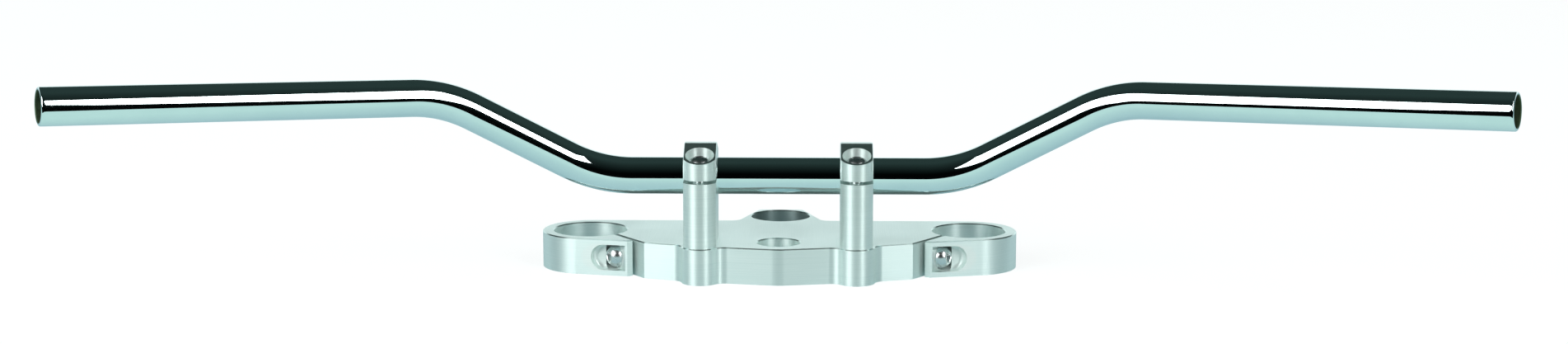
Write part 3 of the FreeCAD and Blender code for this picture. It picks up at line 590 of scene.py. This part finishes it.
# %% Screw rule
screw_rule, given, result = open_group(
    "screw_set", "GeometryNodeTree",
    {"Places": "geometry", "Screw": "object", "Finish": "material"},
    {"Screws": "geometry"},
)
template = add_node(screw_rule, "GeometryNodeObjectInfo", {"Object": given["Screw"], "As Instance": True})
facing = add_node(screw_rule, "GeometryNodeInputNamedAttribute", {"Name": "facing"}, data_type="FLOAT_VECTOR")
aimed = add_node(screw_rule, "FunctionNodeAlignRotationToVector", {"Vector": facing.outputs[0]}, axis="Z")
copies = add_node(screw_rule, "GeometryNodeInstanceOnPoints", {
    "Points": given["Places"], "Instance": template.outputs["Geometry"], "Rotation": aimed.outputs[0],
})
real = add_node(screw_rule, "GeometryNodeRealizeInstances", {"Geometry": copies.outputs[0]})
finished = add_node(screw_rule, "GeometryNodeSetMaterial", {
    "Geometry": real.outputs[0], "Material": given["Finish"],
})
screw_rule.links.new(finished.outputs[0], result["Screws"])
print("screw rule:", len(screw_rule.nodes), "nodes")

# %% [markdown]
# A screw is turned on a lathe, and so is its mesh: an outline of radius and height steps goes round the axis, ring by
# ring. The hexagon socket is woven into the top as three more rings, so that its edge is a clean loop. A Boolean cut
# would do, but leaves long thin triangles.

# %% Rings of a screw
ROUND = 48
angles = [2 * math.pi * step / ROUND for step in range(ROUND)]


def hexagon_radius(angle, across_flats):
    corner = math.pi / 3
    return across_flats / 2 / math.cos((angle % corner) - corner / 2)


def screw_loops(outline, across_flats, depth):
    """Rings of (radius, height) pairs: the outline from the point to the crown, then the socket down to its floor."""
    edge_bevel = 0.25
    top = outline[-1][1]
    loops = [[step] * ROUND for step in outline]
    for wider, height in ((edge_bevel, top), (0.0, top - edge_bevel), (0.0, top - depth)):
        loops.append([(hexagon_radius(angle, across_flats + 2 * wider), height) for angle in angles])
    return loops


print("screws are turned in", ROUND, "steps")

# %% [markdown]
# The rings become points, and faces join each ring to the next. Every point keeps its distance from the axis for the
# turned marks of the steel. A fan of triangles closes the screw's end, and a shallow cone the floor of the socket, as
# the drill leaves it.

# %% Turn one screw
FLOOR_CONE = 0.7


def turn_screw(name, outline, across_flats, depth):
    """One screw along +Z from its outline of (radius, height) steps, with a hexagon socket in its top."""
    mesh = bmesh.new()
    axis_distance = mesh.verts.layers.float.new("from_axis")
    rings = []
    for loop in screw_loops(outline, across_flats, depth):
        ring = []
        for (radius, height), angle in zip(loop, angles):
            vert = mesh.verts.new(Vector((radius * math.cos(angle), radius * math.sin(angle), height)) * MM)
            vert[axis_distance] = radius * MM
            ring.append(vert)
        rings.append(ring)
    for lower, upper in zip(rings, rings[1:]):
        for step in range(ROUND):
            after = (step + 1) % ROUND
            mesh.faces.new((lower[step], lower[after], upper[after], upper[step]))
    socket_floor = outline[-1][1] - depth - FLOOR_CONE
    for ring, height, reverse in ((rings[0], outline[0][1], True), (rings[-1], socket_floor, False)):
        centre = mesh.verts.new((0.0, 0.0, height * MM))
        for step in range(ROUND):
            corners = [ring[step], ring[(step + 1) % ROUND], centre]
            mesh.faces.new(reversed(corners) if reverse else corners)
    data = bpy.data.meshes.new(name)
    mesh.to_mesh(data)
    mesh.free()
    screw = bpy.data.objects.new(name, data)
    scene.collection.objects.link(screw)
    print(name, "has", len(data.polygons), "faces")
    return screw


print("a socket's floor is a cone of", FLOOR_CONE, "mm")

# %% [markdown]
# The places are a mesh of loose points. Each point carries the direction that its screw faces as an attribute, which
# the rule reads. The modelled screw goes once its copies are frozen.

# %% Place the copies
SCREW_SHARP_DEGREES = 35.0


def place_screws(name, node, screw, places):
    """Copies of one screw at (place, facing) pairs, as one piece."""
    mesh = bpy.data.meshes.new(name)
    mesh.from_pydata([place * MM for place, facing in places], [], [])
    directions = mesh.attributes.new("facing", "FLOAT_VECTOR", "POINT")
    for entry, (place, facing) in zip(directions.data, places):
        entry.vector = facing
    points = bpy.data.objects.new(name + "_places", mesh)
    scene.collection.objects.link(points)
    modifier = points.modifiers.new("screw_set", "NODES")
    modifier.node_group = screw_rule
    set_inputs(modifier, {"Screw": screw, "Finish": steel})
    piece = freeze(points, name, SCREW_SHARP_DEGREES)
    bpy.data.objects.remove(screw)
    stand_for(piece, node)


print("screw edges over", SCREW_SHARP_DEGREES, "degrees stay sharp")

# %% [markdown]
# Each cap has a screw in front of and behind the bar. The button heads are low domes: one arc between the rim and a
# small flat, whose centre follows from those two points and the radius. A flattened ball would be quicker to make, but
# it has no rim.

# %% Cap screws
SIDES = ENDS = (-1, 1)
thread_radius, screw_point = 4.0, 1.0


def shank(length):
    tip_radius = thread_radius - screw_point
    return [(tip_radius, -length), (thread_radius, -length + screw_point), (thread_radius, 0.0)]


def dome(rim, crown, radius, steps=10):
    """Steps of (radius, height) along an arc from the rim to the crown."""
    rim, crown = Vector(rim), Vector(crown)
    chord = crown - rim
    inwards = Vector((-chord.y, chord.x)).normalized()
    centre = (rim + crown) / 2 + inwards * math.sqrt(radius**2 - chord.length_squared / 4)
    start = math.atan2(rim.y - centre.y, rim.x - centre.x)
    end = math.atan2(crown.y - centre.y, crown.x - centre.x)
    arc = [start + (end - start) * step / steps for step in range(steps + 1)]
    return [(centre.x + radius * math.cos(a), centre.y + radius * math.sin(a)) for a in arc]


def button_screw(name, length, height, crown_diameter, dome_radius):
    head_radius, rim, across_flats, depth = 7.0, 0.6, 5.0, 2.6
    outline = shank(length) + [(head_radius, 0.0)]
    outline += dome((head_radius, rim), (crown_diameter / 2, height), dome_radius)
    return turn_screw(name, outline, across_flats, depth)


cap_places = [
    (Vector((side * riser_x, bar_forward + end * cap_screw_spacing / 2, cap_screw_height)), upwards)
    for side in SIDES for end in ENDS
]
cap_screw = button_screw("cap_screw", length=30.0, height=4.4, crown_diameter=6.6, dome_radius=6.2)
place_screws("cap_button_screws", "cap_screws", cap_screw, cap_places)

# %% [markdown]
# The riser screws come up from below, their heads sunk in the yoke. The heads are plain cylinders with a broken edge.

# %% Riser screws
riser_seat, riser_screw_spacing = 9.0, 33.0


def cylinder_screw(name, length):
    head_radius, height, edge, across_flats, depth = 6.5, 8.0, 0.6, 6.0, 4.0
    outline = shank(length) + [(head_radius, 0.0), (head_radius, height - edge), (head_radius - edge, height)]
    return turn_screw(name, outline, across_flats, depth)


riser_places = [
    (Vector((side * riser_x, bar_forward + end * riser_screw_spacing / 2, riser_seat)), -upwards)
    for side in SIDES for end in ENDS
]
riser_screw = cylinder_screw("riser_screw", length=25.0)
place_screws("riser_cylinder_screws", "riser_screws", riser_screw, riser_places)

# %% [markdown]
# A pinch screw lies level in each fork clamp, and its head points outwards and back to the rider. It is a button head
# again, taller and with a wider flat.

# %% Pinch screws
mirrors = [Matrix.Diagonal((side, 1.0, 1.0)) for side in SIDES]
pinch_places = [(mirror @ pinch_place, mirror @ pinch_axis) for mirror in mirrors]
pinch_screw = button_screw("pinch_screw", length=25.0, height=6.0, crown_diameter=8.0, dome_radius=6.4)
place_screws("pinch_button_screws", "pinch_screws", pinch_screw, pinch_places)

# %% [markdown]
# ## The milled pieces
# The solids already have the right shape, so each piece starts as a copy of its solid's mesh. Smooth shading alone
# would bend the light on flat faces that meet a rounding, so the normals are worked out here. First, triangles in one
# plane are gathered into flat patches.

# %% Flat patches
PLANE_ANGLE = math.radians(0.2)


def find_patches(work):
    """The flat patch of each face, as a number, and each patch's normal and area."""
    patch = {}
    normals, areas = [], []
    for first in work.faces:
        if first.index in patch:
            continue
        number = len(normals)
        patch[first.index] = number
        members, area = [first], 0.0
        for face in members:
            area += face.calc_area()
            for edge in face.edges:
                if len(edge.link_faces) != 2 or edge.calc_face_angle() > PLANE_ANGLE:
                    continue
                for beside in edge.link_faces:
                    if beside.index not in patch:
                        patch[beside.index] = number
                        members.append(beside)
        largest = max(members, key=lambda face: face.calc_area())
        normals.append(largest.normal.copy())
        areas.append(area)
    return patch, normals, areas


print("faces within", round(math.degrees(PLANE_ANGLE), 1), "degrees form a patch")

# %% [markdown]
# At each corner, the patches that meet there almost level are averaged by the square of their area. A large flat patch
# thus wins, and a row of equal strips round a bore shades as one smooth wall.

# %% Corner normals
SMOOTH_ANGLE = math.radians(12.0)


def corner_normals(work):
    """A normal for each corner of each face, and the number of flat patches."""
    patch, normals, areas = find_patches(work)
    corners = []
    for face in work.faces:
        own = normals[patch[face.index]]
        for vert in face.verts:
            around = {patch[other.index] for other in vert.link_faces}
            total = Vector()
            for number in around:
                if own.dot(normals[number]) > math.cos(SMOOTH_ANGLE):
                    total += normals[number] * areas[number] ** 2
            corners.append(total.normalized())
    return corners, len(normals)


print("patches within", round(math.degrees(SMOOTH_ANGLE)), "degrees shade as one")

# %% [markdown]
# The solid's mesh is loose triangles, so the copy is merged before its normals are worked out. The solid itself stays
# untouched.

# %% Milled copies
MERGE_DISTANCE = 0.002 * MM


def milled_copy(node, name):
    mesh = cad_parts[node].data.copy()
    mesh.name = name
    work = bmesh.new()
    work.from_mesh(mesh)
    bmesh.ops.remove_doubles(work, verts=work.verts, dist=MERGE_DISTANCE)
    work.faces.index_update()
    work.normal_update()
    corners, patches = corner_normals(work)
    work.to_mesh(mesh)
    work.free()
    mesh.materials.clear()
    mesh.materials.append(aluminium)
    mesh.shade_smooth()
    mesh.normals_split_custom_set(corners)
    piece = bpy.data.objects.new(name, mesh)
    scene.collection.objects.link(piece)
    stand_for(piece, node)
    print(name, "has", len(mesh.polygons), "faces in", patches, "flat patches")


milled_copy("top_yoke", "milled_yoke")
for side in ("left", "right"):
    milled_copy(f"{side}_riser", f"milled_{side}_riser")
    milled_copy(f"{side}_riser_cap", f"milled_{side}_cap")

# %% [markdown]
# ## The studio
# Chrome shows its studio, so the studio is built for the mirror: black above, as painted shade of a dark room, a
# bright box of light on each side of the camera, and a pale table below. The camera sees none of that but plain
# white. A Light Path node tells who is looking. The camera gets a bright floor with the object's soft shadow. A
# reflection gets the table with a painted shadow of the bar on it, darker and bluer under the bar. Scattered light
# gets a plain grey cloth, so that the floor doesn't flood the part from below.

# %% Floor material
# In reflections the table fades into a painted shadow of the bar, darker and bluer, between the two places below.
TABLE, TABLE_PAINTED_SHADOW = (0.37, 0.56, 0.53), (0.20, 0.35, 0.39)
PAINTED_SHADOW_FROM, PAINTED_SHADOW_FULL_FROM = -0.16, 0.03  # metres forwards of the steering axis
FLOOR_CLOTH, FLOOR_GLOW = (0.24, 0.27, 0.27, 1.0), 0.8
WHITE = (1.0, 1.0, 1.0)


def empty_material(name):
    material = bpy.data.materials.new(name)
    material.use_nodes = True
    material.node_tree.nodes.clear()
    return material, material.node_tree


def mix_shaders(tree, mask, first, second):
    return add_node(tree, "ShaderNodeMixShader", {0: mask, 1: first, 2: second}).outputs[0]


floor_material, tree = empty_material("pale_floor")
rays = tree.nodes.new("ShaderNodeLightPath").outputs
cloth = add_node(tree, "ShaderNodeBsdfDiffuse", {"Color": FLOOR_CLOTH}).outputs[0]
bright = add_node(tree, "ShaderNodeEmission", {"Color": (*WHITE, 1.0), "Strength": FLOOR_GLOW}).outputs[0]
place = tree.nodes.new("ShaderNodeTexCoord").outputs["Object"]
ahead = add_node(tree, "ShaderNodeSeparateXYZ", {0: place}).outputs["Y"]
table_with_painted_shadow = blend_colours(tree, ramp(tree, ahead, PAINTED_SHADOW_FROM, PAINTED_SHADOW_FULL_FROM), TABLE, TABLE_PAINTED_SHADOW)
table = add_node(tree, "ShaderNodeEmission", {"Color": table_with_painted_shadow, "Strength": 1.0}).outputs[0]
reflected = maths(tree, "MAXIMUM", rays["Is Glossy Ray"], rays["Is Transmission Ray"])
lit = add_node(tree, "ShaderNodeAddShader", {0: mix_shaders(tree, reflected, bright, table), 1: cloth}).outputs[0]
add_node(tree, "ShaderNodeOutputMaterial", {0: mix_shaders(tree, rays["Is Diffuse Ray"], lit, cloth)})
print("material:", floor_material.name)

# %% [markdown]
# The floor is one large sheet just under the yoke. It and the cards that follow aren't attached to a body, as the
# pieces of the object are.

# %% Floor
FLOOR_GAP, FLOOR_REACH = 0.1 * MM, 40.0


def stage_mesh(name, verts, faces, material):
    mesh = bpy.data.meshes.new(name)
    mesh.from_pydata(verts, [], faces)
    mesh.materials.append(material)
    thing = bpy.data.objects.new(name, mesh)
    scene.collection.objects.link(thing)
    return thing


def sheet_corners(left, near, right, far, height):
    return [(left, near, height), (right, near, height), (right, far, height), (left, far, height)]


floor_height = cad_low.z - FLOOR_GAP
floor_corners = sheet_corners(-FLOOR_REACH, -FLOOR_REACH, FLOOR_REACH, FLOOR_REACH, floor_height)
stage_mesh("floor", floor_corners, [(0, 1, 2, 3)], floor_material)
print("floor at", round(floor_height / MM, 2), "mm")

# %% [markdown]
# The world is the white wall behind. It is full white for the camera and faintly blue-green for reflections, and it
# lights the part only half as strongly as it looks.

# %% White wall
WALL_IN_MIRROR = (0.87, 1.0, 1.0)
WALL_LIGHT, WALL_SEEN = 0.5, 1.0
world = bpy.data.worlds.new("white_studio")
scene.world = world
world.use_nodes = True
tree = world.node_tree
background = tree.nodes["Background"]
rays = tree.nodes.new("ShaderNodeLightPath").outputs
hue = blend_colours(tree, rays["Is Glossy Ray"], WHITE, WALL_IN_MIRROR)
clear = maths(tree, "MAXIMUM", rays["Is Camera Ray"], rays["Is Glossy Ray"])
clear = maths(tree, "MAXIMUM", clear, rays["Is Transmission Ray"])
strength = add_node(tree, "ShaderNodeMapRange", {
    "Value": clear, "To Min": WALL_LIGHT, "To Max": WALL_SEEN,
}).outputs[0]
link_inputs(tree, background, {"Color": hue, "Strength": strength})
print("world:", world.name)

# %% [markdown]
# The light boxes are plain glowing cards that the camera doesn't see. Where each of them hangs can be read from the
# chrome: at the border of a highlight, the mirrored line of sight points at the border of the box. So a box is given
# by the directions of its four corners as seen from the bar, at a fixed distance.

# %% Light boxes
BOX_DISTANCE = 5.5
BOX_AIM = Vector((0.0, 0.0, 0.08))


def glow(name, colour, strength):
    material, tree = empty_material(name)
    light = add_node(tree, "ShaderNodeEmission", {"Color": (*colour, 1.0), "Strength": strength})
    add_node(tree, "ShaderNodeOutputMaterial", {0: light.outputs[0]})
    return material, light


def towards(turn, rise):
    """The direction at degrees to the camera's right and degrees above the table."""
    turn, rise = math.radians(turn), math.radians(rise)
    return Vector((math.sin(turn) * math.cos(rise), -math.cos(turn) * math.cos(rise), math.sin(rise)))


def light_box(name, strength, corners):
    verts = [BOX_AIM + towards(turn, rise) * BOX_DISTANCE for turn, rise in corners]
    material, _ = glow(name, WHITE, strength)
    card = stage_mesh(name, verts, [(0, 1, 2, 3)], material)
    card.visible_camera = False
    print(name, "shines with strength", strength)


light_box("left_light_box", 4.9, ((-67.0, 11.0), (-37.5, 2.5), (-20.0, 33.0), (-63.0, 46.5)))
light_box("right_light_box", 7.4, ((35.0, 10.0), (44.0, 5.0), (59.5, 50.0), (31.0, 36.0)))

# %% [markdown]
# The black is painted shade of a dark room: a glowing sheet that only reflections can see. It is black towards the
# camera and gets a faint painted sheen overhead and behind. An even black would be simpler, but the dark bands in the
# photograph's chrome aren't even.

# %% Painted dark room
DOME_RADIUS = 6.0
# Both colours are painted: the black stands for the shade of a dark room, the second for a faint painted sheen.
PAINTED_ROOM_SHADE, PAINTED_ROOM_SHEEN = (0.0005, 0.001, 0.001), (0.024, 0.043, 0.040)
SHEEN_HEIGHTS = (0.05, 0.5)  # metres above the yoke's underside, from no sheen to all of it
SHEEN_DEPTHS = (-0.95 * DOME_RADIUS, 0.1 * DOME_RADIUS)  # the same, forwards of the steering axis
painted_dark_room, light = glow("painted_dark_room", PAINTED_ROOM_SHADE, 1.0)
tree = painted_dark_room.node_tree
place = tree.nodes.new("ShaderNodeTexCoord").outputs["Object"]
_, ahead, height = add_node(tree, "ShaderNodeSeparateXYZ", {0: place}).outputs
overhead = ramp(tree, height, *SHEEN_HEIGHTS)
behind = ramp(tree, ahead, *SHEEN_DEPTHS)
sheen = blend_colours(tree, maths(tree, "MULTIPLY", overhead, behind), PAINTED_ROOM_SHADE, PAINTED_ROOM_SHEEN)
link_inputs(tree, light, {"Color": sheen})
print("material:", painted_dark_room.name)

# %% [markdown]
# The painted dark room hangs as a dome over the set. Away from the camera its lower edge lifts, and there the white
# wall shows.

# %% Dark dome
TURNS, RISES = 48, 16
BACK_OPENING = math.radians(22.0)
OPENS_AT = -0.15  # cosine of the turn away from the camera at which the edge starts to lift
LIFT = 2.0  # the edge is fully lifted at half the way from there to straight behind


def hang(name, verts, faces):
    card = stage_mesh(name, verts, faces, painted_dark_room)
    card.visible_camera = False
    card.visible_diffuse = False
    card.visible_transmission = False
    card.visible_shadow = False
    print(name, "has", len(faces), "faces")


verts, faces = [], []
for turn_step in range(TURNS):
    turn_angle = 2 * math.pi * turn_step / TURNS
    backwards = max(0.0, OPENS_AT - math.cos(turn_angle)) / (1.0 + OPENS_AT)
    lowest = BACK_OPENING * min(1.0, LIFT * backwards)
    for rise_step in range(RISES + 1):
        rise_angle = lowest + (math.pi / 2 - lowest) * rise_step / RISES
        verts.append((
            DOME_RADIUS * math.sin(turn_angle) * math.cos(rise_angle),
            -DOME_RADIUS * math.cos(turn_angle) * math.cos(rise_angle),
            DOME_RADIUS * math.sin(rise_angle) + floor_height,
        ))
row = RISES + 1
for turn_step in range(TURNS):
    here, beside = turn_step * row, (turn_step + 1) % TURNS * row
    for rise_step in range(RISES):
        faces.append((here + rise_step, beside + rise_step, beside + rise_step + 1, here + rise_step + 1))
hang("dark_dome", verts, faces)

# %% [markdown]
# The table ends a little in front of the bar. From there on an apron with the same painted dark lies on it, painted
# shade of the room beyond the table. In the chrome it shows as a dark band between the light boxes and the table.

# %% Dark apron
TABLE_EDGE, APRON_LIFT = 0.36, 1.0 * MM
apron_height = floor_height + APRON_LIFT
apron_corners = sheet_corners(-DOME_RADIUS, -DOME_RADIUS, DOME_RADIUS, -TABLE_EDGE, apron_height)
hang("dark_apron", apron_corners, [(0, 1, 2, 3)])
